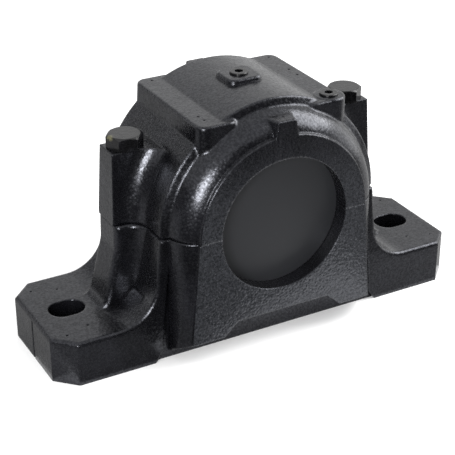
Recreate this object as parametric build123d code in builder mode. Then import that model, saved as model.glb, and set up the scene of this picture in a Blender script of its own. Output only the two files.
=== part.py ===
from build123d import *
import os
from math import cos, radians, sin, sqrt, tan

# Split plummer block for an 80 mm shaft, all sizes in millimetres.
# X runs along the foot, Y along the shaft, Z up; the origin is the middle of the base's underside.
# The closed side with the end cover faces -Y, the open side where the shaft enters faces +Y.

# ---- driving dimensions: housing -------------------------------------------------------------
LENGTH = 345.0  # foot, along X
FOOT_WIDTH = 100.0  # foot and barrel, along Y
FOOT_HEIGHT = 35.0
RING_SPAN = 140.0  # over the two ring faces, along Y
SHAFT_HEIGHT = 100.0
HEIGHT = 193.0  # top of the crown boss
BARREL_R = 90.0
SEAT_R = 80.0  # bearing seat
SEAT_WIDTH = 65.0
RING_R = 69.5  # outside of the two end rings
RING_BORE_R = 51.7
CAVITY_R = 72.0
CAVITY_CORNER = 3.0
GROOVE_R = 58.5  # seal groove in each ring
GROOVE_IN = 49.0  # groove walls, distance from the middle plane
GROOVE_OUT = 57.2
WEB_IN = 44.0  # inner face of the web inside each groove
BOLT_SPACING = 290.0  # mounting slots
SLOT_LENGTH = 28.0
SLOT_WIDTH = 22.0
CAP_BOLT_X = 93.0
CAP_BOLT_D = 16.0
TOWER_TOP = 155.0  # under the cap bolts' heads
PAD_TOP = 180.5  # flat pads and the side boss on the cap
DOWEL_X = 82.5
DOWEL_Y = 41.0
DOWEL_D = 8.0
SIDE_BOSS = (51.5, -41.5)
SIDE_BOSS_TOP = 181.0
PLUG_D = 8.5
PLUG_HOLE_DEPTH = 40.0  # into the chamber
BOLT_PLAY = 0.75
DOWEL_HOLE_DEPTH = 10.0

# ---- driving dimensions: bearing and sleeve --------------------------------------------------
SHAFT_R = 40.0
BEARING_WIDTH = 40.0
SPHERE_R = 74.2  # outer raceway, centred on the bearing
ROLLERS = 19  # in each row
ROLLER_R = 9.3
ROLLER_END_R = 8.88
ROLLER_LENGTH = 15.6
CONTACT_ANGLE = 9.5  # degrees
PLAY = 0.05  # between rollers and raceways
TAPER = 1 / 12  # on diameter
SMALL_BORE_R = 45.0  # inner ring's bore at its front face
RACE_ARC_R = 74.0  # inner raceway's profile
SLEEVE_FRONT = -42.0
SLEEVE_REAR = 23.0
NUT_R = 60.0
NUT_FACES = (-38.0, -22.0)
WASHER_T = 2.0

OVERCUT = 1.0  # how far a cut runs past the face it opens
NEAR = 0.1  # for picking out edges and corners by position

half_barrel = FOOT_WIDTH / 2
half_span = RING_SPAN / 2
half_seat = SEAT_WIDTH / 2
half_bearing = BEARING_WIDTH / 2
pitch_distance = SPHERE_R - ROLLER_R - PLAY  # bearing centre to roller centre
roller_r = pitch_distance * cos(radians(CONTACT_ANGLE))
roller_y = pitch_distance * sin(radians(CONTACT_ANGLE))

os.makedirs("parts", exist_ok=True)

SHAFT_AXIS = Axis((0, 0, SHAFT_HEIGHT), (0, 1, 0))
UP_OVER = Axis((0, 0, SHAFT_HEIGHT), (0, -1, 0))  # turning about this sweeps +X over the top to -X
SPLIT = Plane.XY.offset(SHAFT_HEIGHT)  # its +X side is also the section that the turned parts sweep
MIDDLE = Plane.XZ  # seen from the front: x to the right, y up
ABOVE = (Align.CENTER, Align.CENTER, Align.MIN)
BELOW = (Align.CENTER, Align.CENTER, Align.MAX)


def both_ends(front):
    """A turned profile from its front half: (radius, y) points, then the same points mirrored."""
    return front + [(r, -y) for r, y in reversed(front)]


def save(builder, name):
    builder.part.label = name
    export_step(builder.part, f"parts/{name}.step")


# ---- the bearing chamber, cut out of both castings --------------------------------------------
def chamber_sketch():
    with BuildSketch(SPLIT) as section:
        Polygon(
            *both_ends([
                (0, -half_span - OVERCUT),
                (RING_BORE_R, -half_span - OVERCUT),
                (RING_BORE_R, -GROOVE_OUT),
                (GROOVE_R, -GROOVE_OUT),
                (GROOVE_R, -GROOVE_IN),
                (RING_BORE_R, -GROOVE_IN),
                (RING_BORE_R, -WEB_IN),
                (CAVITY_R - CAVITY_CORNER, -WEB_IN),
                (CAVITY_R, -WEB_IN + CAVITY_CORNER),
                (CAVITY_R, -half_seat),
                (SEAT_R, -half_seat),
            ]),
            align=None,
        )
    return section.sketch


def dowel_holes(depth):
    """The two dowel holes, from the split up (positive depth) or down."""
    with BuildPart() as holes:
        with BuildSketch(SPLIT):
            with Locations(*[(side * DOWEL_X, side * DOWEL_Y) for side in (1, -1)]):
                Circle(DOWEL_D / 2)
        extrude(amount=depth)
    return holes.part


# ---- housing cap ------------------------------------------------------------------------------
TOWER_X = 110.3  # outer face of the bolt tower, at the split
TOWER_Y = 13.0  # half its width, at the split
TOWER_ROOT_X = 60.0  # the tower's inner end, inside the barrel
TOWER_DRAFT = 2.5  # degrees
TOWER_BLEND_R = 16.0
TOWER_CORNER_R = 3.0
RIM_INNER_R = 84.0
RIM_EDGE_R = 1.2
RIM_ROOT_R = 2.0
RIM_OUT = 47.0  # the rim's cone, from the barrel's edge...
RIM_IN = 50.0  # ...down to the shoulder
COLLAR_IN = 67.5  # the shoulder ends in a short straight collar
SHOULDER_BULGE = 2.6
PAD_OUTER_X = 60.0
PAD_INNER_X = 28.0  # inside the barrel, except at the noses
PAD_HALF_Y = 53.0
PAD_DEPTH = 36.0
PAD_DRAFT = 3.0
PAD_CORNER_R = 8.0
PAD_EDGE_R = 2.0
PAD_BLEND_R = 2.5  # along the foot of the pads and the side boss
LUG_TOP = 181.0
LUG_FOOT = 160.0
LUG_TOP_PLAN = [(7.0, 70.0), (12.5, 48.0)]  # half width at each distance from the middle plane
LUG_FOOT_PLAN = [(10.5, 70.0), (19.0, 48.0)]
LUG_EDGE_R = 1.8
CROWN_BOSS = (27.0, 26.0)
CROWN_BOSS_CORNER_R = 6.0
CROWN_BOSS_DRAFT = 12.0
CROWN_BOSS_DEPTH = 8.0
SIDE_BOSS_R = 12.0
EDGE_CHAMFER = 1.0
SPLIT_CHAMFER = (1.0, 2.2)  # the castings' rounded edges at the split
DRILL_POINT_R = 1.1
DRILL_POINT_DEPTH = 1.2
PAD_DRILL_POINTS = [(-50.6, -32.4), (-49.8, -39.8), (-48.6, 45.3), (52.6, 45.8), (52.5, 15.5), (52.5, 3.3)]
LUG_DRILL_POINTS = [(0.6, -61.4), (2.0, 67.7)]


def barrel_outline():
    """Outside of the cap in section, from the front face round to the rear face."""
    with BuildSketch(SPLIT) as section:
        with BuildLine():
            for end in (1, -1):
                Polyline((0, end * half_span), (RING_R, end * half_span), (RING_R, end * COLLAR_IN))
                SagittaArc((RING_R, end * COLLAR_IN), (RIM_INNER_R, end * RIM_IN), end * SHOULDER_BULGE)
                Line((RIM_INNER_R, end * RIM_IN), (BARREL_R, end * RIM_OUT))
            Line((BARREL_R, -RIM_OUT), (BARREL_R, RIM_OUT))
            Line((0, -half_span), (0, half_span))
        make_face()
        fillet(vertices().group_by(Axis.X)[-1], RIM_EDGE_R)
        fillet(vertices().filter_by_position(Axis.X, RIM_INNER_R - NEAR, RIM_INNER_R + NEAR), RIM_ROOT_R)
        ring_corners = vertices().filter_by_position(Axis.X, RING_R - NEAR, RING_R + NEAR)
        fillet(ring_corners.filter_by(lambda v: abs(v.Y) > half_span - NEAR), RIM_EDGE_R)
    return section.sketch


def drill_points(points, top):
    """Conical marks sunk into a flat surface at the height top."""
    with BuildPart() as marks:
        with Locations(*[(x, y, top) for x, y in points]):
            Cone(0, DRILL_POINT_R, DRILL_POINT_DEPTH, align=BELOW)
    return marks.part


with BuildPart() as cap_pads:
    # two flat pads along the barrel
    for side in (1, -1):
        with BuildSketch(Plane((side * (PAD_OUTER_X + PAD_INNER_X) / 2, 0, PAD_TOP))):
            RectangleRounded(PAD_OUTER_X - PAD_INNER_X, 2 * PAD_HALF_Y, PAD_CORNER_R)
        extrude(amount=-PAD_DEPTH, taper=-PAD_DRAFT)
    fillet(faces().filter_by(Axis.Z).group_by(Axis.Z)[-1].edges(), PAD_EDGE_R)

with BuildPart() as side_boss:
    with BuildSketch(Plane((*SIDE_BOSS, SIDE_BOSS_TOP))):
        Circle(SIDE_BOSS_R)
    extrude(amount=-PAD_DEPTH)
    fillet(faces().sort_by(Axis.Z)[-1].edges(), PAD_EDGE_R)

with BuildPart() as cap_lugs:
    # marker lugs on the rings, front and rear
    for end in (1, -1):
        for height, plan in ((LUG_TOP, LUG_TOP_PLAN), (LUG_FOOT, LUG_FOOT_PLAN)):
            with BuildSketch(Plane.XY.offset(height)):
                Polygon(
                    *[(x, end * y) for x, y in plan],
                    *[(-x, end * y) for x, y in reversed(plan)],
                    align=None,
                )
        loft(ruled=True)
    fillet(faces().filter_by(Axis.Z).group_by(Axis.Z)[-1].edges(), LUG_EDGE_R)

with BuildPart() as housing_cap:
    add(barrel_outline())
    revolve(axis=UP_OVER, revolution_arc=180)
    # bolt towers, drafted, with their sides blended into the barrel
    for side in (1, -1):
        with BuildSketch(Plane((side * (TOWER_X + TOWER_ROOT_X) / 2, 0, SHAFT_HEIGHT))):
            Rectangle(TOWER_X - TOWER_ROOT_X, 2 * TOWER_Y)
            fillet(vertices().filter_by(lambda v: abs(v.X) > TOWER_X - NEAR), TOWER_CORNER_R)
        extrude(amount=TOWER_TOP - SHAFT_HEIGHT, taper=TOWER_DRAFT)
    creases = edges().filter_by(GeomType.ELLIPSE).filter_by(lambda e: e.length > TOWER_TOP - SHAFT_HEIGHT)
    fillet(creases, TOWER_BLEND_R)
    split_edges = edges().filter_by(Axis.Y).filter_by(lambda e: abs(abs(e.center().X) - BARREL_R) < NEAR)
    chamfer(split_edges, length=SPLIT_CHAMFER[0], length2=SPLIT_CHAMFER[1])
    add(cap_pads.part)
    pad_feet = edges().filter_by(
        lambda e: PAD_TOP - PAD_DEPTH < e.center().Z < PAD_TOP - PAD_EDGE_R - NEAR
        and PAD_INNER_X < abs(e.center().X) < PAD_OUTER_X + PAD_CORNER_R
        and abs(e.center().Y) < PAD_HALF_Y + PAD_CORNER_R
    )
    fillet(pad_feet, PAD_BLEND_R)
    add(side_boss.part)  # nests in the right pad's front corner
    add(cap_lugs.part)
    # crown boss
    with BuildSketch(Plane.XY.offset(HEIGHT)):
        RectangleRounded(*CROWN_BOSS, CROWN_BOSS_CORNER_R)
    extrude(amount=-CROWN_BOSS_DEPTH, taper=-CROWN_BOSS_DRAFT)
    chamfer(faces().sort_by(Axis.Z)[-1].edges(), EDGE_CHAMFER)
    # chamber
    add(chamber_sketch())
    revolve(axis=SHAFT_AXIS, mode=Mode.SUBTRACT)
    # cap bolt holes, dowel holes and the two grease holes
    with Locations(*[(side * CAP_BOLT_X, 0, TOWER_TOP) for side in (1, -1)]):
        Hole(radius=CAP_BOLT_D / 2 + BOLT_PLAY, depth=TOWER_TOP - SHAFT_HEIGHT)
    with Locations((0, 0, HEIGHT), (*SIDE_BOSS, SIDE_BOSS_TOP)):
        Hole(radius=PLUG_D / 2, depth=PLUG_HOLE_DEPTH)
    add(dowel_holes(DOWEL_HOLE_DEPTH), mode=Mode.SUBTRACT)
    add(drill_points(PAD_DRILL_POINTS, PAD_TOP), mode=Mode.SUBTRACT)
    add(drill_points(LUG_DRILL_POINTS, LUG_TOP), mode=Mode.SUBTRACT)
save(housing_cap, "housing_cap")

# ---- housing base -----------------------------------------------------------------------------
WAIST_TOP_X = 90.5  # half width of the body at the split
WAIST_X = 94.0  # and where it starts to curve out
WAIST_Z = 66.0
WAIST_ARC_R = 31.0
FOOT_BLEND_X = 125.0  # where the waist's arc meets the foot
FOOT_EDGE_R = 3.0
CORNER_CUT = 15.3
LEDGE_X = 109.5  # bolt tower: outer face at the split
LEDGE_Y = 16.0  # half its width, a little proud of the cap's tower
LEDGE_EDGE_R = 2.5
TOWER_FLARE_R = 14.0  # sides into the body, in plan
TOWER_EDGE_R = 5.0
TOWER_TAPER = [(LEDGE_X, SHAFT_HEIGHT), (110.0, 80.0), (121.2, FOOT_HEIGHT), (132.0, FOOT_HEIGHT)]
TOWER_FOOT = (132.0, 10.0)
TAPER_RADII = [0, 14, 9, 0, 0]
RECESS = [(84, 100), (84.5, 80), (88, 47), (91, 10), (92, 7), (97, 0)]  # half outline, down to the floor
RECESS_Y = 46.5
SUPPORT_SECTIONS = (  # the ring support's half width at its face and at its root, and the root's distance
    (SHAFT_HEIGHT, RING_R, 84.4, 49.8),
    (0.0, 77.9, 84.8, 46.0),
)
SUPPORT_INSIDE_Y = 43.0
UNDERCUT = [(SUPPORT_INSIDE_Y, -1), (SUPPORT_INSIDE_Y, 4), (72, 20.1), (72, -1)]  # section, from the body out
UNDERCUT_X = 86.0
ARCH = [(38.5, 29.5), (70.8, 0)]
CORE_POCKET = [(50, 0), (118, 0), (112, 28), (98, 50), (80, 50), (64, 27), (50, 13)]
CORE_CORNER_R = 4.0
CORE_HALF_Y = 36.0
TAPPED_DEPTH = 40.0
FOOT_DRILL_POINTS = [(159.3, 35.2), (140.6, 29.2)]  # in each quarter
CENTRE_MARK = 1.2  # depth and half width of the mark on each end of the foot


def symmetric(half):
    """A closed outline from the points of its right half."""
    return half + [(-x, z) for x, z in reversed(half)]


def support_section(height, face_x, root_x, root_y, end):
    """Plan section of a ring support: collar, bulging side, and a root inside the body."""
    with BuildSketch(Plane.XY.offset(height)) as section:
        with BuildLine():
            for side in (1, -1):
                Line((side * face_x, end * half_span), (side * face_x, end * COLLAR_IN))
                SagittaArc(
                    (side * face_x, end * COLLAR_IN),
                    (side * root_x, end * root_y),
                    side * end * SHOULDER_BULGE,
                )
                Line((side * root_x, end * root_y), (side * root_x, end * SUPPORT_INSIDE_Y))
            Line((-face_x, end * half_span), (face_x, end * half_span))
            Line((-root_x, end * SUPPORT_INSIDE_Y), (root_x, end * SUPPORT_INSIDE_Y))
        make_face()
    return section.sketch


with BuildPart() as ring_supports:
    # under each ring, widening down to the floor, undercut below and with an arch in the middle
    for end in (1, -1):
        add(support_section(*SUPPORT_SECTIONS[0], end))
        add(support_section(*SUPPORT_SECTIONS[1], end))
        loft(ruled=True)
        with BuildSketch(Plane.YZ):
            Polygon(*[(end * y, z) for y, z in UNDERCUT], align=None)
        extrude(amount=UNDERCUT_X, both=True, mode=Mode.SUBTRACT)
        with BuildSketch(MIDDLE.offset(-end * RECESS_Y)):
            Polygon(*symmetric(ARCH), align=None)
        extrude(amount=-end * RING_SPAN, mode=Mode.SUBTRACT)

with BuildPart() as base_towers:
    # bolt towers: the outer face tapers out and runs into the foot
    for side in (1, -1):
        with BuildSketch(MIDDLE):
            with BuildLine():
                edge = FilletPolyline(
                    (side * CAVITY_R, SHAFT_HEIGHT),
                    *[(side * x, z) for x, z in TOWER_TAPER],
                    (side * TOWER_FOOT[0], TOWER_FOOT[1]),
                    (side * CAVITY_R, TOWER_FOOT[1]),
                    radius=TAPER_RADII,
                )
                Line(edge @ 1, edge @ 0)
            make_face()
        extrude(amount=LEDGE_Y, both=True)
    side_edges = edges().filter_by(lambda e: abs(abs(e.center().Y) - LEDGE_Y) < NEAR)
    outer = side_edges.filter_by(lambda e: abs(e.center().X) > LEDGE_X - 1 and e.center().Z > FOOT_HEIGHT + 1)
    fillet(outer, TOWER_EDGE_R)
    # in plan the sides flare into the body
    with BuildSketch(SPLIT):
        for side in (1, -1):
            flare_x = side * (WAIST_TOP_X + TOWER_FLARE_R)
            root_x = side * WAIST_TOP_X
            root_y = LEDGE_Y + TOWER_FLARE_R
            with BuildLine():
                Line((flare_x, LEDGE_Y), (flare_x, -LEDGE_Y))
                for end in (1, -1):
                    RadiusArc((flare_x, end * LEDGE_Y), (root_x, end * root_y), TOWER_FLARE_R * side * end)
                    Line((root_x, end * root_y), (side * CAVITY_R, end * root_y))
                Line((side * CAVITY_R, root_y), (side * CAVITY_R, -root_y))
            make_face()
    extrude(amount=FOOT_HEIGHT - SHAFT_HEIGHT)
    ledge = faces().filter_by(Axis.Z).group_by(Axis.Z)[-1].edges()
    fillet(ledge.filter_by(lambda e: abs(e.center().X) > WAIST_TOP_X), LEDGE_EDGE_R)

with BuildPart() as housing_base:
    # foot and body in one outline: the body waists down into the foot with one arc
    with BuildSketch(MIDDLE):
        for side in (1, -1):
            with BuildLine():
                top = Line((0, SHAFT_HEIGHT), (side * WAIST_TOP_X, SHAFT_HEIGHT))
                edge = Line(top @ 1, (side * WAIST_X, WAIST_Z))
                arc = RadiusArc(edge @ 1, (side * FOOT_BLEND_X, FOOT_HEIGHT), -WAIST_ARC_R * side)
                foot_end = Polyline(arc @ 1, (side * LENGTH / 2, FOOT_HEIGHT), (side * LENGTH / 2, 0))
                Polyline(foot_end @ 1, (0, 0), (0, SHAFT_HEIGHT))
            make_face()
    extrude(amount=half_barrel, both=True)
    chamfer(edges().filter_by(Axis.Z).filter_by(lambda e: abs(e.center().X) > LENGTH / 2 - 1), CORNER_CUT)
    outline_edges = edges().filter_by(lambda e: FOOT_HEIGHT - NEAR < e.center().Z < SHAFT_HEIGHT - 1)
    across = outline_edges.filter_by(Axis.Y).filter_by(lambda e: abs(e.center().X) < LENGTH / 2 - 1)
    fillet([e for e in outline_edges if e not in across], FOOT_EDGE_R)
    split_edges = edges().filter_by(Axis.Y).filter_by(lambda e: abs(abs(e.center().X) - WAIST_TOP_X) < NEAR)
    chamfer(split_edges, length=SPLIT_CHAMFER[0], length2=SPLIT_CHAMFER[1])
    # recessed fields in front and behind, open to the floor
    for end in (1, -1):
        with BuildSketch(MIDDLE.offset(end * half_span)):
            Polygon(*symmetric(RECESS), align=None)
        extrude(amount=end * (RECESS_Y - half_span), mode=Mode.SUBTRACT)
    add(ring_supports.part)
    add(base_towers.part)
    # chamber
    add(chamber_sketch())
    revolve(axis=SHAFT_AXIS, mode=Mode.SUBTRACT)
    # mounting slots, tapped holes and dowel holes
    with BuildSketch(Plane.XY.offset(FOOT_HEIGHT)):
        with Locations(*[(side * BOLT_SPACING / 2, 0) for side in (1, -1)]):
            SlotOverall(SLOT_LENGTH, SLOT_WIDTH)
    extrude(amount=-FOOT_HEIGHT, mode=Mode.SUBTRACT)
    with BuildSketch(SPLIT):
        with Locations(*[(side * CAP_BOLT_X, 0) for side in (1, -1)]):
            Circle(CAP_BOLT_D / 2)
    extrude(amount=-TAPPED_DEPTH, mode=Mode.SUBTRACT)
    add(dowel_holes(-DOWEL_HOLE_DEPTH), mode=Mode.SUBTRACT)
    # cored pockets in the underside, either side of the bearing seat
    for side in (1, -1):
        with BuildSketch(MIDDLE):
            Polygon(*[(side * x, z) for x, z in CORE_POCKET], align=None)
            fillet(vertices().filter_by(lambda v: v.Z > 1), CORE_CORNER_R)
        extrude(amount=CORE_HALF_Y, both=True, mode=Mode.SUBTRACT)
    # drill points on the foot, and the centre marks on its ends
    for side in (1, -1):
        for end in (1, -1):
            marks = [(side * x, end * y) for x, y in FOOT_DRILL_POINTS]
            add(drill_points(marks, FOOT_HEIGHT), mode=Mode.SUBTRACT)
    with BuildSketch(Plane.XY):
        for side in (1, -1):
            Polygon(
                (side * (LENGTH / 2 + OVERCUT), CENTRE_MARK + OVERCUT),
                (side * (LENGTH / 2 - CENTRE_MARK), 0),
                (side * (LENGTH / 2 + OVERCUT), -CENTRE_MARK - OVERCUT),
                align=None,
            )
    extrude(amount=FOOT_HEIGHT - FOOT_EDGE_R, mode=Mode.SUBTRACT)
save(housing_base, "housing_base")

# ---- fasteners and plugs ----------------------------------------------------------------------
HEAD_ACROSS_FLATS = 24.0
HEAD_HEIGHT = 10.0
HEAD_FLATS_ANGLE = {1: -19.0, -1: -11.5}  # as tightened, right and left
HEAD_TOP_R = 11.4
HEAD_BEVEL = 30.0  # degrees
BOLT_LENGTH = 90.0
BOLT_POINT = 1.5
DOWEL_LENGTH = 18.0
PIN_CHAMFER = 0.8
PLUG_FLANGE_R = 6.9
PLUG_FLANGE_T = 1.5
PLUG_LENGTH = 8.0
PLUG_SOCKET_AF = 6.0
PLUG_SOCKET_DEPTH = 4.5
PLUG_CHAMFER = 0.4

with BuildPart() as cap_bolts:
    bolt_seats = [(side * CAP_BOLT_X, 0, TOWER_TOP) for side in (1, -1)]
    for side in (1, -1):
        with BuildSketch(Plane((side * CAP_BOLT_X, 0, TOWER_TOP))):
            RegularPolygon(HEAD_ACROSS_FLATS / 2, 6, major_radius=False, rotation=HEAD_FLATS_ANGLE[side])
        extrude(amount=HEAD_HEIGHT)
    # the heads' corners are turned off from above
    bevel_r = HEAD_TOP_R + HEAD_HEIGHT / tan(radians(HEAD_BEVEL))
    with Locations(*bolt_seats):
        Cone(bevel_r, HEAD_TOP_R, HEAD_HEIGHT, align=ABOVE, mode=Mode.INTERSECT)
    with Locations(*bolt_seats):
        Cylinder(CAP_BOLT_D / 2, BOLT_LENGTH, align=BELOW)
    chamfer(faces().group_by(Axis.Z)[0].edges(), BOLT_POINT)
save(cap_bolts, "cap_bolts")

with BuildPart() as dowel_pins:
    with Locations(*[(side * DOWEL_X, side * DOWEL_Y, SHAFT_HEIGHT) for side in (1, -1)]):
        Cylinder(DOWEL_D / 2, DOWEL_LENGTH)
    chamfer(edges().filter_by(GeomType.CIRCLE), PIN_CHAMFER)
save(dowel_pins, "dowel_pins")


def grease_plug(x, y, seat_z):
    """Flanged plug with a hexagon socket, screwed in from above."""
    with BuildPart() as plug:
        with BuildSketch(Plane((x, y, seat_z))):
            Circle(PLUG_FLANGE_R)
        extrude(amount=PLUG_FLANGE_T)
        chamfer(faces().sort_by(Axis.Z)[-1].edges(), PLUG_CHAMFER)
        with BuildSketch(Plane((x, y, seat_z))):
            Circle(PLUG_D / 2)
        extrude(amount=-PLUG_LENGTH)
        with BuildSketch(Plane((x, y, seat_z + PLUG_FLANGE_T))):
            RegularPolygon(PLUG_SOCKET_AF / 2, 6, major_radius=False)
        extrude(amount=-PLUG_SOCKET_DEPTH, mode=Mode.SUBTRACT)
    return plug


save(grease_plug(0, 0, HEIGHT), "top_grease_plug")
save(grease_plug(*SIDE_BOSS, SIDE_BOSS_TOP), "side_grease_plug")


# ---- turned parts -----------------------------------------------------------------------------
def turned(outline, axis=SHAFT_AXIS, arc=360):
    """A body turned about the shaft axis from (radius, y) points."""
    with BuildPart() as body:
        with BuildSketch(SPLIT):
            Polygon(*outline, align=None)
        revolve(axis=axis, revolution_arc=arc)
    return body


# closing disc and its rubber ring in the front groove
COVER_R = 55.0
COVER_FACES = (-57.0, -51.5)
COVER_CHAMFER = 0.8
COVER_RIM = 7.0  # flat rim inside, round a field set back by COVER_DISH
COVER_DISH = 2.0

end_cover = turned([
    (0, COVER_FACES[0]),
    (COVER_R - COVER_CHAMFER, COVER_FACES[0]),
    (COVER_R, COVER_FACES[0] + COVER_CHAMFER),
    (COVER_R, COVER_FACES[1]),
    (COVER_R - COVER_RIM, COVER_FACES[1]),
    (COVER_R - COVER_RIM - COVER_DISH, COVER_FACES[1] - COVER_DISH),
    (0, COVER_FACES[1] - COVER_DISH),
])
save(end_cover, "end_cover")

SEAL_RING_FACES = (-57.0, -49.2)
SEAL_RING_LIP = 3.0  # behind the cover's rim
SEAL_RING_CHAMFER = 1.0

end_cover_seal_ring = turned([
    (COVER_R, SEAL_RING_FACES[0]),
    (GROOVE_R - SEAL_RING_CHAMFER, SEAL_RING_FACES[0]),
    (GROOVE_R, SEAL_RING_FACES[0] + SEAL_RING_CHAMFER),
    (GROOVE_R, SEAL_RING_FACES[1] - SEAL_RING_CHAMFER),
    (GROOVE_R - SEAL_RING_CHAMFER, SEAL_RING_FACES[1]),
    (COVER_R - SEAL_RING_LIP, SEAL_RING_FACES[1]),
    (COVER_R - SEAL_RING_LIP, COVER_FACES[1]),
    (COVER_R, COVER_FACES[1]),
])
save(end_cover_seal_ring, "end_cover_seal_ring")

# two-lip shaft seal in the rear groove, split at the shaft
SEAL_LIP_R = SHAFT_R + 0.2
SEAL_OUTLINE = [
    (GROOVE_R, 49.2),
    (GROOVE_R, 57.0),
    (50.5, 57.0),
    (SEAL_LIP_R, 60.2),
    (SEAL_LIP_R, 58.9),
    (47.5, 53.1),
    (SEAL_LIP_R, 47.3),
    (SEAL_LIP_R, 46.0),
    (50.5, 49.2),
]
save(turned(SEAL_OUTLINE, axis=UP_OVER, arc=180), "shaft_seal_upper")
save(turned(SEAL_OUTLINE, arc=180), "shaft_seal_lower")

# locating rings beside the outer ring, open at the top
RING_GAP = 24.0
LOCATING_BORE_R = 73.5  # wide enough for the rollers' corners at the bearing's full tilt
for row, end in (("front", -1), ("rear", 1)):
    with BuildPart() as locating_ring:
        with BuildSketch(SPLIT):
            Polygon(
                (LOCATING_BORE_R, end * half_bearing),
                (SEAT_R, end * half_bearing),
                (SEAT_R, end * half_seat),
                (LOCATING_BORE_R, end * half_seat),
                align=None,
            )
        revolve(axis=SHAFT_AXIS)
        with BuildSketch(SPLIT.offset(SEAT_R)):
            Rectangle(RING_GAP, 2 * RING_SPAN)
        extrude(amount=-half_seat, mode=Mode.SUBTRACT)
    save(locating_ring, f"locating_ring_{row}")

# ---- spherical roller bearing -----------------------------------------------------------------
tilt = radians(CONTACT_ANGLE)
sphere_edge_r = sqrt(SPHERE_R**2 - half_bearing**2)
RING_CHAMFER = 1.5
OIL_GROOVE = (3.0, 4.0)  # half widths of the groove round the outer ring, at its floor and its mouth

with BuildPart() as bearing_outer_ring:
    with BuildSketch(SPLIT):
        with BuildLine():
            race = ThreePointArc((sphere_edge_r, -half_bearing), (SPHERE_R, 0), (sphere_edge_r, half_bearing))
            Polyline(
                race @ 1,
                (SEAT_R - RING_CHAMFER, half_bearing),
                (SEAT_R, half_bearing - RING_CHAMFER),
                (SEAT_R, OIL_GROOVE[1]),
                (SEAT_R - RING_CHAMFER, OIL_GROOVE[0]),
                (SEAT_R - RING_CHAMFER, -OIL_GROOVE[0]),
                (SEAT_R, -OIL_GROOVE[1]),
                (SEAT_R, -half_bearing + RING_CHAMFER),
                (SEAT_R - RING_CHAMFER, -half_bearing),
                race @ 0,
            )
        make_face()
    revolve(axis=SHAFT_AXIS)
save(bearing_outer_ring, "bearing_outer_ring")

# the raceway's arc is centred on the contact line, beyond the roller
race_centre = pitch_distance - ROLLER_R - PLAY + RACE_ARC_R
race_centre_r = race_centre * cos(tilt)
race_centre_y = race_centre * sin(tilt)


def race_radius(y):
    """Radius of the rear inner raceway at a distance y from the middle plane."""
    return race_centre_r - sqrt(RACE_ARC_R**2 - (y - race_centre_y) ** 2)


RACE_IN = 1.5
RACE_OUT = 17.9
RIB_R = 55.6
large_bore_r = SMALL_BORE_R + BEARING_WIDTH * TAPER / 2

with BuildPart() as bearing_inner_ring:
    with BuildSketch(SPLIT):
        with BuildLine():
            rear_race = ThreePointArc(
                (race_radius(RACE_IN), RACE_IN),
                (race_radius(roller_y), roller_y),
                (race_radius(RACE_OUT), RACE_OUT),
            )
            Polyline(rear_race @ 1, (RIB_R, RACE_OUT), (RIB_R, half_bearing), (large_bore_r, half_bearing))
            Line((large_bore_r, half_bearing), (SMALL_BORE_R, -half_bearing))
            front_race = ThreePointArc(
                (race_radius(RACE_IN), -RACE_IN),
                (race_radius(roller_y), -roller_y),
                (race_radius(RACE_OUT), -RACE_OUT),
            )
            Polyline(front_race @ 1, (RIB_R, -RACE_OUT), (RIB_R, -half_bearing))
            Line((RIB_R, -half_bearing), (SMALL_BORE_R, -half_bearing))
            Line(front_race @ 0, rear_race @ 0)
        make_face()
    revolve(axis=SHAFT_AXIS)
save(bearing_inner_ring, "bearing_inner_ring")


def roller_plane(end):
    """Plane at a roller's centre on the +X side; its y axis is the roller's own axis."""
    return Plane(
        origin=(roller_r, end * roller_y, SHAFT_HEIGHT),
        x_dir=(cos(tilt), end * sin(tilt), 0),
        z_dir=(0, 0, 1),
    )


def around_shaft(solid, count):
    """The solid repeated evenly about the shaft axis."""
    return [solid.rotate(SHAFT_AXIS, i * 360 / count) for i in range(count)]


CAGE_OFFSET = -4.0  # the cage's shell runs this far inside the rollers' axes
CAGE_T = 2.0
WINDOW_WIDTH = 17.6
WINDOW_LENGTH = 16.2
CAGE_RIM = 1.2

for row, end in (("front", -1), ("rear", 1)):
    with BuildPart() as one_roller:
        with BuildSketch(roller_plane(end)):
            Polygon(
                (0, -ROLLER_LENGTH / 2),
                (ROLLER_END_R, -ROLLER_LENGTH / 2),
                (ROLLER_R, 0),
                (ROLLER_END_R, ROLLER_LENGTH / 2),
                (0, ROLLER_LENGTH / 2),
                align=None,
            )
        revolve(axis=Axis(roller_plane(end).origin, roller_plane(end).y_dir))
    with BuildPart() as rollers:
        add(around_shaft(one_roller.part, ROLLERS))
    save(rollers, f"rollers_{row}_row")

    with BuildPart() as window_cutter:
        with BuildSketch(roller_plane(end)):
            with Locations((CAGE_OFFSET, 0)):
                Rectangle(3 * CAGE_T, WINDOW_LENGTH)
        extrude(amount=WINDOW_WIDTH / 2, both=True)
    with BuildPart() as cage:
        with BuildSketch(roller_plane(end)):
            with Locations((CAGE_OFFSET, 0)):
                Rectangle(CAGE_T, WINDOW_LENGTH + 2 * CAGE_RIM)
        revolve(axis=SHAFT_AXIS)
        add(around_shaft(window_cutter.part, ROLLERS), mode=Mode.SUBTRACT)
    save(cage, f"cage_{row}")

GUIDE_RING = [(56.9, -1.2), (60.1, -1.7)]  # front half of its section

save(turned(both_ends(GUIDE_RING)), "guide_ring")

# ---- adapter sleeve, nut and lock washer ------------------------------------------------------
SLIT = 3.0
SLEEVE_CHAMFER = 1.0
NUT_BORE_R = 44.0
NUT_CHAMFER = 3.0
NUT_REAR_R = 52.0  # its face against the washer
SPANNER_SLOTS = 4
SPANNER_SLOT = (8.0, 12.0)
WASHER_BORE_R = 45.1
WASHER_R = 54.0
WASHER_TABS = 13
WASHER_TAB = (8.0, 7.0)
WASHER_TAB_R = 55.0


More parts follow.
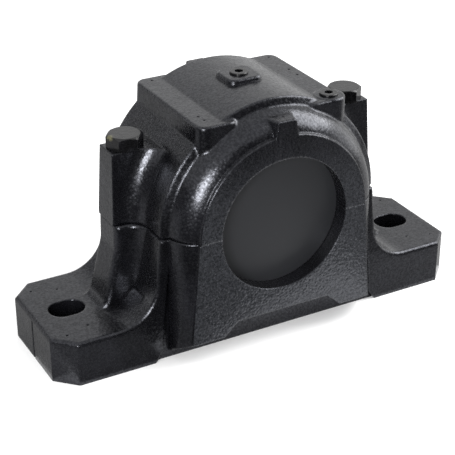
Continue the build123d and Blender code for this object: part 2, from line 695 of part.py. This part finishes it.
def sleeve_radius(y):
    """Outside of the sleeve's cone, flush with the inner ring's bore."""
    return SMALL_BORE_R + (y + half_bearing) * TAPER / 2


with BuildPart() as adapter_sleeve:
    with BuildSketch(SPLIT):
        Polygon(
            (SHAFT_R, SLEEVE_FRONT),
            (NUT_BORE_R - SLEEVE_CHAMFER, SLEEVE_FRONT),
            (NUT_BORE_R, SLEEVE_FRONT + SLEEVE_CHAMFER),
            (NUT_BORE_R, NUT_FACES[1]),
            (sleeve_radius(NUT_FACES[1]), NUT_FACES[1]),
            (sleeve_radius(SLEEVE_REAR), SLEEVE_REAR),
            (SHAFT_R, SLEEVE_REAR),
            align=None,
        )
    revolve(axis=SHAFT_AXIS)
    # slit right through one wall
    with BuildSketch(SPLIT):
        Rectangle(SLIT, 2 * RING_SPAN)
    extrude(amount=-2 * SMALL_BORE_R, mode=Mode.SUBTRACT)
save(adapter_sleeve, "adapter_sleeve")

with BuildPart() as lock_nut:
    with BuildSketch(SPLIT):
        Polygon(
            (NUT_BORE_R, NUT_FACES[0]),
            (NUT_R - NUT_CHAMFER, NUT_FACES[0]),
            (NUT_R, NUT_FACES[0] + NUT_CHAMFER),
            (NUT_R, NUT_FACES[1] - NUT_CHAMFER),
            (NUT_REAR_R, NUT_FACES[1]),
            (NUT_BORE_R, NUT_FACES[1]),
            align=None,
        )
    revolve(axis=SHAFT_AXIS)
    # spanner slots
    with BuildSketch(MIDDLE.offset(-NUT_FACES[0])):
        with Locations((0, SHAFT_HEIGHT)):
            with PolarLocations(NUT_R, SPANNER_SLOTS):
                Rectangle(*SPANNER_SLOT)
    extrude(amount=NUT_FACES[0] - NUT_FACES[1], mode=Mode.SUBTRACT)
save(lock_nut, "lock_nut")

with BuildPart() as lock_washer:
    with BuildSketch(MIDDLE.offset(-NUT_FACES[1])):
        with Locations((0, SHAFT_HEIGHT)):
            Circle(WASHER_R)
            with PolarLocations(WASHER_TAB_R, WASHER_TABS):
                Rectangle(*WASHER_TAB)
            Circle(WASHER_BORE_R, mode=Mode.SUBTRACT)
    extrude(amount=-WASHER_T)
save(lock_washer, "lock_washer")
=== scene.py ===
"""Finish of a split plummer block, as a Blender 4.5 add-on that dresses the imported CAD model."""

import math

import bpy
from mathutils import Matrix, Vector


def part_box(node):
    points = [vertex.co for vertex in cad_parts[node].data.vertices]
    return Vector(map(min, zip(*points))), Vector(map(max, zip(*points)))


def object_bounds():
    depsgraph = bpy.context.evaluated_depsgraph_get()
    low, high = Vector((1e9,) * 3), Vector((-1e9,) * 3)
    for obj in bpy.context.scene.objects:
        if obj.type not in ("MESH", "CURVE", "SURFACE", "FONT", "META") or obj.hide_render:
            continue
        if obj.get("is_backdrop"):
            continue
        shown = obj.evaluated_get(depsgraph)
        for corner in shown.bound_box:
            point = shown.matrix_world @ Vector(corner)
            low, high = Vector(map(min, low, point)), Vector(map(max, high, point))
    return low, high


bl_info = {
    "name": "Split plummer block",
    "version": (1, 0, 0),
    "blender": (4, 5, 0),
    "location": "View3D > Sidebar > Plummer block",
    "description": "Enamelled castings, fasteners, cover, seals and bearing in a white studio",
    "category": "Object",
}

MM = 0.001
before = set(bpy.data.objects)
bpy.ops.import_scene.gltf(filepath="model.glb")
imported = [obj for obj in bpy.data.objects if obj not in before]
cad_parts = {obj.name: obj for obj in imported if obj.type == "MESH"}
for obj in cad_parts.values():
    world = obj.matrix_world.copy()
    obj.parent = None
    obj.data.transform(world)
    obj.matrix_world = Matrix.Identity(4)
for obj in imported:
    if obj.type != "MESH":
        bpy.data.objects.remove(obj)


# ---- colours and nodes ------------------------------------------------------------------------
def colour(code):
    """Linear RGBA from an sRGB hex code such as '#3a3b3e'."""
    channels = [int(code[i : i + 2], 16) / 255 for i in (1, 3, 5)]
    linear = [c / 12.92 if c <= 0.04045 else ((c + 0.055) / 1.055) ** 2.4 for c in channels]
    return (*linear, 1.0)


def add_node(tree, kind, inputs=None, **settings):
    """A shader node with its settings, and its sockets set to values or linked from others."""
    node = tree.nodes.new(kind)
    for name, value in settings.items():
        setattr(node, name, value)
    for name, value in (inputs or {}).items():
        if isinstance(value, bpy.types.NodeSocket):
            tree.links.new(value, node.inputs[name])
        else:
            node.inputs[name].default_value = value
    return node


def new_material(name):
    """An empty material and its node tree."""
    material = bpy.data.materials.new(name)
    material.use_nodes = True
    material.node_tree.nodes.clear()
    return material, material.node_tree


def finish_material(tree, surface):
    """Puts the Principled shader on the output, with its sockets as surface gives them."""
    shader = add_node(tree, "ShaderNodeBsdfPrincipled", surface)
    add_node(tree, "ShaderNodeOutputMaterial", {"Surface": shader.outputs["BSDF"]})


def two_tone(tree, pattern, low, high, first, second):
    """The first colour where the pattern is at low, the second where it is at high."""
    share = add_node(
        tree,
        "ShaderNodeMapRange",
        {"Value": pattern, "From Min": low, "From Max": high},
        interpolation_type="SMOOTHSTEP",
    ).outputs["Result"]
    tones = {"Factor": share, "A": first, "B": second}
    return add_node(tree, "ShaderNodeMix", tones, data_type="RGBA").outputs["Result"]


EDGE_SAMPLES = 6


def relief(tree, edge_radius, *layers):
    """A normal that turns smoothly over hard edges and carries layers of bumps.

    Each layer is a pattern from 0 to 1, its depth in millimetres and its strength.
    """
    edges = add_node(tree, "ShaderNodeBevel", {"Radius": edge_radius}, samples=EDGE_SAMPLES)
    normal = edges.outputs["Normal"]
    for pattern, depth_mm, strength in layers:
        normal = add_node(
            tree,
            "ShaderNodeBump",
            {
                "Height": pattern,
                "Distance": depth_mm * MM,
                "Strength": strength,
                "Normal": normal,
            },
        ).outputs["Normal"]
    return normal


# ---- materials --------------------------------------------------------------------------------
# The duller skin of the ring faces sets in between these distances from the middle of the block,
# along the shaft.
RING_FACE_START = 52 * MM
RING_FACE_FULL = 66 * MM
# The ring faces are painted greyer low down, as dust and as painted light from the floor. The
# grey thins out between these heights.
DUST_AND_FLOOR_LIGHT_FULL = 110 * MM
DUST_AND_FLOOR_LIGHT_TOP = 170 * MM
# Creases of about this width get a painted shade: ambient occlusion takes away the enamel's
# sheen there.
CREASE_SHADE_WIDTH = 4 * MM
CREASE_SHADE_SAMPLES = 8
# Reflections in the enamel are a trace bluer than what they mirror.
ENAMEL_GLINT = colour("#f1f4ff")


def ring_faces(tree, position):
    """1 on the flat faces round the shaft, in front and behind, 0 on the rest of a casting."""
    facing = add_node(tree, "ShaderNodeNewGeometry").outputs["True Normal"]
    # Each row is a vector, and the lengths along the shaft between which its share rises.
    shares = []
    for vector, low, high, blend in (
        (position, RING_FACE_START, RING_FACE_FULL, "LINEAR"),
        (facing, 0.97, 0.99, "SMOOTHSTEP"),
    ):
        along_shaft = add_node(tree, "ShaderNodeSeparateXYZ", {"Vector": vector}).outputs["Y"]
        either_way = add_node(tree, "ShaderNodeMath", {0: along_shaft}, operation="ABSOLUTE")
        share = add_node(
            tree,
            "ShaderNodeMapRange",
            {"Value": either_way.outputs[0], "From Min": low, "From Max": high},
            interpolation_type=blend,
        )
        shares.append(share.outputs["Result"])
    both = add_node(tree, "ShaderNodeMath", dict(enumerate(shares)), operation="MULTIPLY")
    return both.outputs[0]


def cast_enamel(settings):
    """Black enamel sprayed on a sand casting.

    The sand leaves rounded grains and shallow waves that the paint softens, so highlights break
    into small specks, and every edge of the casting is rounded. The big flat faces in front and
    behind take less paint: their grain is coarser and they are duller, and towards the bottom
    they are painted greyer, as dust and as painted light from the floor. Creases and drilled
    points get a painted shade: ambient occlusion takes away the enamel's sheen there, which
    draws them as dark lines and dots.
    """
    material, tree = new_material("black_enamel_on_sand_cast_iron")
    position = add_node(tree, "ShaderNodeTexCoord").outputs["Object"]
    height = add_node(tree, "ShaderNodeSeparateXYZ", {"Vector": position}).outputs["Z"]
    ring_face = ring_faces(tree, position)

    # Moulding sand is under 0.5 mm across. Its grain is drawn as coarse as it needs to show.
    grains = add_node(
        tree,
        "ShaderNodeTexVoronoi",
        {"Vector": position, "Scale": 1 / settings.grain_size, "Smoothness": 0.6},
        feature="SMOOTH_F1",
    ).outputs["Distance"]
    # Each row is a pattern's width, detail and roughness.
    speckle, pores, pits, waves, film = (
        add_node(
            tree,
            "ShaderNodeTexNoise",
            {"Vector": position, "Scale": 1 / width, "Detail": detail, "Roughness": roughness},
        ).outputs["Fac"]
        for width, detail, roughness in (
            (0.7 * settings.grain_size, 3.0, 0.6),
            (1.8 * MM, 2.0, 0.6),
            (2.2 * settings.grain_size, 2.0, 0.5),
            (settings.wave_size, 2.0, 0.4),
            (35 * MM, 3.0, 0.6),
        )
    )
    # Ambient occlusion finds creases and drilled points, to paint shade into them.
    painted_crease_shade = add_node(
        tree,
        "ShaderNodeAmbientOcclusion",
        {"Distance": CREASE_SHADE_WIDTH},
        samples=CREASE_SHADE_SAMPLES,
        only_local=True,
    ).outputs["AO"]
    # Each row is a pattern, the two values that it moves between, and what they become. Grains
    # rise to their middles, the film reflects less at its pores, and creases hardly reflect at
    # all, a painted shade from ambient occlusion.
    grain, dust_and_floor_light_share, ior, sheen_and_crease_shade = (
        add_node(
            tree,
            "ShaderNodeMapRange",
            {
                "Value": pattern,
                "From Min": low,
                "From Max": high,
                "To Min": first,
                "To Max": last,
            },
            interpolation_type="SMOOTHSTEP",
        ).outputs["Result"]
        for pattern, low, high, first, last in (
            (grains, 0.75, 0.1, 0.0, 1.0),
            (height, DUST_AND_FLOOR_LIGHT_TOP, DUST_AND_FLOOR_LIGHT_FULL, 0.0, 1.0),
            (pores, 0.35, 0.65, 1.4, 1.58),
            (painted_crease_shade, 0.55, 0.93, 0.02, 0.5),
        )
    )

    # Each row is a pattern, its depth in millimetres, and its strength on the rounded skin and
    # on the ring faces. The waves are as strong everywhere.
    layers = [(waves, 0.6, 0.4)]
    for pattern, depth_mm, on_skin, on_ring_face in (
        (pits, 0.4, 0.2, 0.9),
        (grain, 0.16, 0.25, 1.0),
        (speckle, 0.12, 0.15, 1.0),
    ):
        strengths = {"Value": ring_face, "To Min": on_skin, "To Max": on_ring_face}
        strength = add_node(tree, "ShaderNodeMapRange", strengths).outputs["Result"]
        layers.append((pattern, depth_mm, strength))

    paint = two_tone(tree, film, 0.35, 0.7, (*settings.paint, 1), (*settings.thin_paint, 1))
    # A greyer tone for the ring faces low down: dust, and painted light from the floor.
    dust_and_floor_light_tone = two_tone(tree, speckle, 0.3, 0.7, colour("#141517"), colour("#28292c"))
    dust_and_floor_light_mask = {0: ring_face, 1: dust_and_floor_light_share}
    dust_and_floor_light_mask = add_node(tree, "ShaderNodeMath", dust_and_floor_light_mask, operation="MULTIPLY").outputs[0]
    tones = {"Factor": dust_and_floor_light_mask, "A": paint, "B": dust_and_floor_light_tone}
    tint = add_node(tree, "ShaderNodeMix", tones, data_type="RGBA").outputs["Result"]

    gloss = {
        "Value": grain,
        "To Min": settings.paint_roughness - 0.05,
        "To Max": settings.paint_roughness + 0.07,
    }
    gloss = add_node(tree, "ShaderNodeMapRange", gloss).outputs["Result"]
    duller = {0: ring_face, 1: 0.03, 2: gloss}
    gloss = add_node(tree, "ShaderNodeMath", duller, operation="MULTIPLY_ADD").outputs[0]
    finish_material(
        tree,
        {
            "Base Color": tint,
            "Roughness": gloss,
            "IOR": ior,
            "Specular IOR Level": sheen_and_crease_shade,
            "Specular Tint": ENAMEL_GLINT,
            "Normal": relief(tree, settings.edge_radius, *layers),
        },
    )
    return material


# The chip on the left bolt's head: its middle, from the leftmost point of the head's top, and
# how far its ragged outline reaches.
CHIP_OFFSET = Vector((0.8 * MM, -1.5 * MM, 0.0))
CHIP_REACH = 6.5 * MM


def black_steel(settings):
    """Cold-headed steel with black oxide under the same enamel.

    It is smoother than the castings, with soft dents and blotches of gloss. On the left bolt's
    head a small chip shows dull primer.
    """
    material, tree = new_material("black_oxide_steel")
    position = add_node(tree, "ShaderNodeTexCoord").outputs["Object"]
    # Each row is a pattern's width, detail and roughness.
    fine, ragged, dents, blotches = (
        add_node(
            tree,
            "ShaderNodeTexNoise",
            {"Vector": position, "Scale": 1 / width, "Detail": detail, "Roughness": roughness},
        ).outputs["Fac"]
        for width, detail, roughness in (
            (0.9 * MM, 2.0, 0.5),
            (1.3 * MM, 3.0, 0.8),
            (3.5 * MM, 2.0, 0.5),
            (5 * MM, 4.0, 0.65),
        )
    )
    gloss = add_node(
        tree,
        "ShaderNodeMapRange",
        {"Value": blotches, "From Min": 0.4, "From Max": 0.7, "To Min": 0.2, "To Max": 0.34},
        interpolation_type="SMOOTHSTEP",
    ).outputs["Result"]
    tint = two_tone(tree, blotches, 0.4, 0.7, (*settings.steel, 1), (*settings.thin_paint, 1))

    low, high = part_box("cap_bolts")
    chip = Vector((low.x, (low.y + high.y) / 2, high.z)) + CHIP_OFFSET
    away = add_node(tree, "ShaderNodeVectorMath", {0: position, 1: chip}, operation="DISTANCE")
    outline = {0: ragged, 1: -CHIP_REACH, 2: away.outputs["Value"]}
    outline = add_node(tree, "ShaderNodeMath", outline, operation="MULTIPLY_ADD").outputs[0]
    tint = two_tone(tree, outline, 0.6 * MM, -1.4 * MM, tint, colour("#4d4b36"))
    finish_material(
        tree,
        {
            "Base Color": tint,
            "Roughness": gloss,
            "IOR": 1.45,
            "Normal": relief(tree, 0.8 * MM, (dents, 0.3, 0.5), (fine, 0.08, 0.6)),
        },
    )
    return material


def moulded_nylon(settings):
    """Injection-moulded nylon of the end cover: an even satin black with a very fine grain."""
    material, tree = new_material("moulded_nylon")
    position = add_node(tree, "ShaderNodeTexCoord").outputs["Object"]
    fine = add_node(tree, "ShaderNodeTexNoise", {"Vector": position, "Scale": 1 / (0.7 * MM)})
    finish_material(
        tree,
        {
            "Base Color": (*settings.cover, 1),
            "Roughness": 0.5,
            "IOR": 1.53,
            "Normal": relief(tree, 0.4 * MM, (fine.outputs["Fac"], 0.02, 0.25)),
        },
    )
    return material


def nitrile_rubber():
    """Moulded nitrile rubber of the seals: dull black, greyer where wax has bloomed on it."""
    material, tree = new_material("nitrile_rubber")
    position = add_node(tree, "ShaderNodeTexCoord").outputs["Object"]
    bloom = {"Vector": position, "Scale": 1 / (9 * MM), "Detail": 4.0, "Roughness": 0.6}
    bloom = add_node(tree, "ShaderNodeTexNoise", bloom).outputs["Fac"]
    fine = add_node(tree, "ShaderNodeTexNoise", {"Vector": position, "Scale": 1 / (0.6 * MM)})
    finish_material(
        tree,
        {
            "Base Color": two_tone(tree, bloom, 0.4, 0.8, colour("#17181a"), colour("#232426")),
            "Roughness": 0.62,
            "IOR": 1.52,
            "Normal": relief(tree, 0.3 * MM, (fine.outputs["Fac"], 0.04, 0.4)),
        },
    )
    return material


def turned_metal(name, tint, dark_tint, roughness, mark_mm, mark_depth_mm):
    """Metal turned or ground on the shaft's axis.

    Tool marks run round the axis and draw reflections out into rings, and oil darkens patches.
    Real marks are 0.05 to 0.3 mm apart, and are drawn as coarse as they need to show.
    """
    material, tree = new_material(name)
    position = add_node(tree, "ShaderNodeTexCoord").outputs["Object"]
    low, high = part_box("bearing_outer_ring")
    shaft_height = (low.z + high.z) / 2
    x, y, z = add_node(tree, "ShaderNodeSeparateXYZ", {"Vector": position}).outputs
    above = {0: z, 1: shaft_height}
    above = add_node(tree, "ShaderNodeMath", above, operation="SUBTRACT").outputs[0]
    across = add_node(tree, "ShaderNodeCombineXYZ", {"X": x, "Y": above}).outputs[0]
    radius = add_node(tree, "ShaderNodeVectorMath", {0: across}, operation="LENGTH")
    rings = {"X": radius.outputs["Value"], "Y": y}
    rings = add_node(tree, "ShaderNodeCombineXYZ", rings).outputs[0]
    marks = {"Vector": rings, "Scale": 1 / (mark_mm * MM), "Roughness": 0.6}
    marks = add_node(tree, "ShaderNodeTexNoise", marks).outputs["Fac"]
    oil = {"Vector": position, "Scale": 1 / (18 * MM), "Detail": 3.0, "Roughness": 0.6}
    oil = add_node(tree, "ShaderNodeTexNoise", oil).outputs["Fac"]
    gloss = {"Value": marks, "To Min": roughness - 0.06, "To Max": roughness + 0.08}
    gloss = add_node(tree, "ShaderNodeMapRange", gloss).outputs["Result"]
    finish_material(
        tree,
        {
            "Base Color": two_tone(tree, oil, 0.45, 0.75, tint, dark_tint),
            "Metallic": 1.0,
            "Roughness": gloss,
            "Normal": relief(tree, 0.3 * MM, (marks, mark_depth_mm, 0.5)),
        },
    )
    return material


def pressed_steel():
    """Pressed sheet steel of the cages: satin, with faint streaks from the press."""
    material, tree = new_material("pressed_sheet_steel")
    position = add_node(tree, "ShaderNodeTexCoord").outputs["Object"]
    streaks = {"Vector": position, "Scale": 1 / (1.5 * MM), "Detail": 3.0, "Roughness": 0.6}
    streaks = add_node(tree, "ShaderNodeTexNoise", streaks).outputs["Fac"]
    finish_material(
        tree,
        {
            "Base Color": two_tone(
                tree, streaks, 0.3, 0.7, colour("#8d8a84"), colour("#a09d97")
            ),
            "Metallic": 1.0,
            "Roughness": 0.42,
            "Normal": relief(tree, 0.3 * MM, (streaks, 0.03, 0.4)),
        },
    )
    return material


def dress(material, *nodes):
    """Gives the named CAD nodes one material."""
    for name in nodes:
        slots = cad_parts[name].data.materials
        slots.clear()
        slots.append(material)


# ---- settings ---------------------------------------------------------------------------------
class PlummerFinishSettings(bpy.types.PropertyGroup):
    """Paint, steel and cover finishes of the block."""

    paint: bpy.props.FloatVectorProperty(
        name="Paint",
        description="Enamel where the film is thick",
        subtype="COLOR",
        size=3,
        default=colour("#08080a")[:3],
        min=0,
        max=1,
    )
    thin_paint: bpy.props.FloatVectorProperty(
        name="Thin paint",
        description="Enamel where the film is thin",
        subtype="COLOR",
        size=3,
        default=colour("#0f0f12")[:3],
        min=0,
        max=1,
    )
    steel: bpy.props.FloatVectorProperty(
        name="Black steel",
        description="Cap bolts and grease plugs",
        subtype="COLOR",
        size=3,
        default=colour("#09090a")[:3],
        min=0,
        max=1,
    )
    cover: bpy.props.FloatVectorProperty(
        name="End cover",
        description="Moulded disc that closes the front",
        subtype="COLOR",
        size=3,
        default=colour("#1c1d20")[:3],
        min=0,
        max=1,
    )
    paint_roughness: bpy.props.FloatProperty(
        name="Paint roughness",
        description="Microscopic roughness of the enamel",
        subtype="FACTOR",
        default=0.25,
        min=0.05,
        max=0.9,
    )
    grain_size: bpy.props.FloatProperty(
        name="Grain",
        description="Width of the grains in the cast skin",
        unit="LENGTH",
        default=2.1 * MM,
        min=0.2 * MM,
        max=10 * MM,
    )
    wave_size: bpy.props.FloatProperty(
        name="Waves",
        description="Width of the shallow unevenness of the castings",
        unit="LENGTH",
        default=11 * MM,
        min=2 * MM,
        max=100 * MM,
    )
    edge_radius: bpy.props.FloatProperty(
        name="Edge radius",
        description="Rounding of the castings' edges under the paint",
        unit="LENGTH",
        default=2.2 * MM,
        min=0.0,
        max=5 * MM,
    )


class PlummerStudioSettings(bpy.types.PropertyGroup):
    """Where the camera stands."""

    azimuth: bpy.props.FloatProperty(
        name="Azimuth",
        description="Camera turned round the block from the front",
        subtype="ANGLE",
        default=math.radians(-28.9),
    )
    elevation: bpy.props.FloatProperty(
        name="Elevation",
        description="Camera's height above the horizon",
        subtype="ANGLE",
        default=math.radians(27.74),
    )
    distance: bpy.props.FloatProperty(
        name="Distance",
        description="Camera to the point it looks at",
        unit="LENGTH",
        default=1.0195,
    )
    focal_length: bpy.props.FloatProperty(
        name="Focal length",
        description="Lens on a 36 mm wide sensor",
        unit="CAMERA",
        default=104.7,
    )
    aim: bpy.props.FloatVectorProperty(
        name="Aim",
        description="Point the camera looks at",
        subtype="TRANSLATION",
        size=3,
        default=(-0.00935, 0.0, 0.0677),
    )


# ---- operators --------------------------------------------------------------------------------
class PLUMMER_OT_castings(bpy.types.Operator):
    """Paint the base and the cap"""

    bl_idname = "plummer.castings"
    bl_label = "Paint the castings"

    def execute(self, context):
        dress(cast_enamel(context.scene.plummer_finish), "housing_base", "housing_cap")
        return {"FINISHED"}


class PLUMMER_OT_fasteners(bpy.types.Operator):
    """Finish the cap bolts and the grease plugs"""

    bl_idname = "plummer.fasteners"
    bl_label = "Finish bolts and plugs"

    def execute(self, context):
        steel = black_steel(context.scene.plummer_finish)
        dress(steel, "cap_bolts", "top_grease_plug", "side_grease_plug")
        return {"FINISHED"}


class PLUMMER_OT_cover(bpy.types.Operator):
    """Finish the end cover"""

    bl_idname = "plummer.cover"
    bl_label = "Finish the end cover"

    def execute(self, context):
        dress(moulded_nylon(context.scene.plummer_finish), "end_cover")
        return {"FINISHED"}


class PLUMMER_OT_seals(bpy.types.Operator):
    """Finish the cover's rubber ring and the two halves of the shaft seal"""

    bl_idname = "plummer.seals"
    bl_label = "Finish the seals"

    def execute(self, context):
        dress(nitrile_rubber(), "end_cover_seal_ring", "shaft_seal_upper", "shaft_seal_lower")
        return {"FINISHED"}


class PLUMMER_OT_bearing(bpy.types.Operator):
    """Finish the bearing's rings, rollers and cages, and the dowels, which are ground as well"""

    bl_idname = "plummer.bearing"
    bl_label = "Finish the bearing and the dowels"

    def execute(self, context):
        ground = turned_metal(
            "ground_bearing_steel",
            colour("#b9babd"),
            colour("#a3a19d"),
            roughness=0.22,
            mark_mm=0.35,
            mark_depth_mm=0.01,
        )
        dress(ground, "bearing_outer_ring", "bearing_inner_ring", "guide_ring")
        dress(ground, "rollers_front_row", "rollers_rear_row", "dowel_pins")
        dress(pressed_steel(), "cage_front", "cage_rear")
        return {"FINISHED"}


class PLUMMER_OT_sleeve(bpy.types.Operator):
    """Finish the adapter sleeve, its nut and its washer"""

    bl_idname = "plummer.sleeve"
    bl_label = "Finish the adapter sleeve"

    def execute(self, context):
        turned = turned_metal(
            "oiled_turned_steel",
            colour("#8b8a87"),
            colour("#6f6d69"),
            roughness=0.34,
            mark_mm=0.8,
            mark_depth_mm=0.03,
        )
        dress(turned, "adapter_sleeve", "lock_nut", "lock_washer")
        return {"FINISHED"}


class PLUMMER_OT_locating_rings(bpy.types.Operator):
    """Finish the two locating rings"""

    bl_idname = "plummer.locating_rings"
    bl_label = "Finish the locating rings"

    def execute(self, context):
        iron = turned_metal(
            "turned_grey_iron",
            colour("#77767a"),
            colour("#5d5b5a"),
            roughness=0.45,
            mark_mm=1.0,
            mark_depth_mm=0.04,
        )
        dress(iron, "locating_ring_front", "locating_ring_rear")
        return {"FINISHED"}


# ---- studio -----------------------------------------------------------------------------------
FLOOR_HALF_WIDTH = 6.0
FLOOR_COLOUR = "#fbfbfb"
CARD_LIFT = 1 * MM
# Cards round the block that only glossy reflections see. They keep the black deep in a white
# set. Each has a name, a colour and corners in metres. Corners of two numbers lie on the floor.
CARDS = (
    (
        "card_front",
        "#050505",
        ((-2.2, -1.9, 0.1), (2.8, -1.9, 0.1), (2.8, -2.3, 2.0), (-2.2, -2.3, 2.0)),
    ),
    (
        "card_floor_front",
        "#101010",
        (
            (-1.6, -0.11),
            (-1.6, -2.2),
            (0.6, -2.2),
            (0.15, -0.5),
            (0.12, -0.17),
            (-0.09, -0.072),
            (-0.09, -0.11),
        ),
    ),
    (
        "card_floor_right",
        "#606060",
        ((0.12, -0.17), (0.15, -0.5), (0.6, -2.2), (2.4, -2.2), (1.6, -0.11), (0.11, -0.11)),
    ),
    (
        "card_foot_left",
        "#7c7c7c",
        ((-1.6, -0.052), (-1.6, -0.11), (-0.09, -0.11), (-0.09, -0.052)),
    ),
    (
        "card_foot_right",
        "#a8a8a8",
        ((1.6, -0.052), (1.6, -0.11), (0.11, -0.11), (0.09, -0.052)),
    ),
    (
        "card_floor_behind",
        "#9a9a9a",
        (
            (-2.3, -0.05),
            (-0.174, -0.05),
            (-0.174, 0.0),
            (0.174, 0.0),
            (0.174, -0.05),
            (1.1, -0.05),
            (1.1, 2.4),
            (-2.3, 2.4),
        ),
    ),
    (
        "card_left",
        "#484848",
        ((-2.2, -1.9, 0.02), (-2.2, 1.0, 0.02), (-2.4, 1.0, 1.0), (-2.4, -1.9, 1.0)),
    ),
    (
        "card_sky_left",
        "#b0b0b0",
        ((-2.2, 1.0, 0.3), (-0.4, 1.9, 0.3), (-0.4, 2.3, 1.8), (-2.4, 1.3, 1.8)),
    ),
)
# Name, width and height, distance and direction from the middle of the block, and radiance.
SOFTBOXES = (
    ("key_softbox", (0.34, 0.4), 1.2, (-0.66, -0.69, 0.29), 32),
    ("upper_right_softbox", (0.9, 0.8), 1.3, (0.74, -0.20, 0.63), 7.5),
    ("right_softbox", (0.8, 0.8), 1.3, (0.97, -0.05, 0.2), 1.2),
)
# How far the camera sees, in metres.
CAMERA_REACH = 50


def lay_card(name, code, corners):
    """A flat board of the set in matt paint, which shows one even tone."""
    material, tree = new_material(f"matt_paint_{code[1:]}")
    paint = add_node(tree, "ShaderNodeBsdfDiffuse", {"Color": colour(code)})
    add_node(tree, "ShaderNodeOutputMaterial", {"Surface": paint.outputs["BSDF"]})
    mesh = bpy.data.meshes.new(name)
    mesh.from_pydata(corners, [], [range(len(corners))])
    mesh.materials.append(material)
    card = bpy.data.objects.new(name, mesh)
    bpy.context.scene.collection.objects.link(card)
    card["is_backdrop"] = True
    return card


def hang_softbox(name, size, place, target, radiance):
    """A rectangular area light whose surface has the given radiance, where 1 is white."""
    width, height = size
    light = bpy.data.lights.new(name, "AREA")
    light.shape = "RECTANGLE"
    light.size = width
    light.size_y = height
    light.energy = radiance * math.pi * width * height
    softbox = bpy.data.objects.new(name, light)
    softbox.location = place
    softbox.rotation_euler = (target - place).to_track_quat("-Z", "Y").to_euler()
    softbox.visible_camera = False
    bpy.context.scene.collection.objects.link(softbox)


def white_world():
    """An even white surrounding, which is also the background."""
    world = bpy.data.worlds.new("white_studio")
    world.use_nodes = True
    tree = world.node_tree
    tree.nodes.clear()
    sky = add_node(tree, "ShaderNodeBackground", {"Color": colour("#ffffff"), "Strength": 1.0})
    add_node(tree, "ShaderNodeOutputWorld", {"Surface": sky.outputs["Background"]})
    return world


def place_camera(settings):
    """A camera that looks at its aim from the set angles and distance."""
    camera = bpy.data.objects.new("camera", bpy.data.cameras.new("camera"))
    camera.data.lens = settings.focal_length
    camera.data.clip_end = CAMERA_REACH
    back = Vector(
        (
            math.sin(settings.azimuth) * math.cos(settings.elevation),
            -math.cos(settings.azimuth) * math.cos(settings.elevation),
            math.sin(settings.elevation),
        )
    )
    camera.location = Vector(settings.aim) + settings.distance * back
    camera.rotation_euler = (-back).to_track_quat("-Z", "Y").to_euler()
    bpy.context.scene.collection.objects.link(camera)
    return camera


class PLUMMER_OT_studio(bpy.types.Operator):
    """Set the floor, the cards, the lights, the white background and the camera"""

    bl_idname = "plummer.studio"
    bl_label = "Set up the studio"

    def execute(self, context):
        low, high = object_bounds()
        middle = (low + high) / 2
        half = FLOOR_HALF_WIDTH
        square = ((-half, -half), (half, -half), (half, half), (-half, half))
        lay_card("studio_floor", FLOOR_COLOUR, [(x, y, low.z) for x, y in square])
        for name, code, corners in CARDS:
            raised = [(*c, low.z + CARD_LIFT) if len(c) == 2 else c for c in corners]
            card = lay_card(name, code, raised)
            card.visible_camera = False
            card.visible_diffuse = False
            card.visible_shadow = False
        for name, size, distance, direction, radiance in SOFTBOXES:
            place = middle + distance * Vector(direction)
            hang_softbox(name, size, place, middle, radiance)
        context.scene.world = white_world()
        context.scene.camera = place_camera(context.scene.plummer_studio)
        context.scene.view_settings.view_transform = "Standard"
        return {"FINISHED"}


# ---- panel and registration -------------------------------------------------------------------
class PLUMMER_PT_panel(bpy.types.Panel):
    """The block's finishes, the studio, and the buttons that make them"""

    bl_idname = "PLUMMER_PT_panel"
    bl_label = "Plummer block"
    bl_space_type = "VIEW_3D"
    bl_region_type = "UI"
    bl_category = "Plummer block"

    def draw(self, context):
        for group in (context.scene.plummer_finish, context.scene.plummer_studio):
            box = self.layout.box()
            for name in group.__annotations__:
                box.prop(group, name)
        for operator in OPERATORS:
            self.layout.operator(operator.bl_idname)


OPERATORS = (
    PLUMMER_OT_castings,
    PLUMMER_OT_fasteners,
    PLUMMER_OT_cover,
    PLUMMER_OT_seals,
    PLUMMER_OT_bearing,
    PLUMMER_OT_sleeve,
    PLUMMER_OT_locating_rings,
    PLUMMER_OT_studio,
)
CLASSES = (PlummerFinishSettings, PlummerStudioSettings, *OPERATORS, PLUMMER_PT_panel)


def register():
    for cls in CLASSES:
        bpy.utils.register_class(cls)
    bpy.types.Scene.plummer_finish = bpy.props.PointerProperty(type=PlummerFinishSettings)
    bpy.types.Scene.plummer_studio = bpy.props.PointerProperty(type=PlummerStudioSettings)


def unregister():
    del bpy.types.Scene.plummer_finish
    del bpy.types.Scene.plummer_studio
    for cls in reversed(CLASSES):
        bpy.utils.unregister_class(cls)


def main():
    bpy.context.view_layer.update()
    register()
    bpy.ops.plummer.castings()
    bpy.ops.plummer.fasteners()
    bpy.ops.plummer.cover()
    bpy.ops.plummer.seals()
    bpy.ops.plummer.bearing()
    bpy.ops.plummer.sleeve()
    bpy.ops.plummer.locating_rings()
    bpy.ops.plummer.studio()


if __name__ == "__main__":
    main()
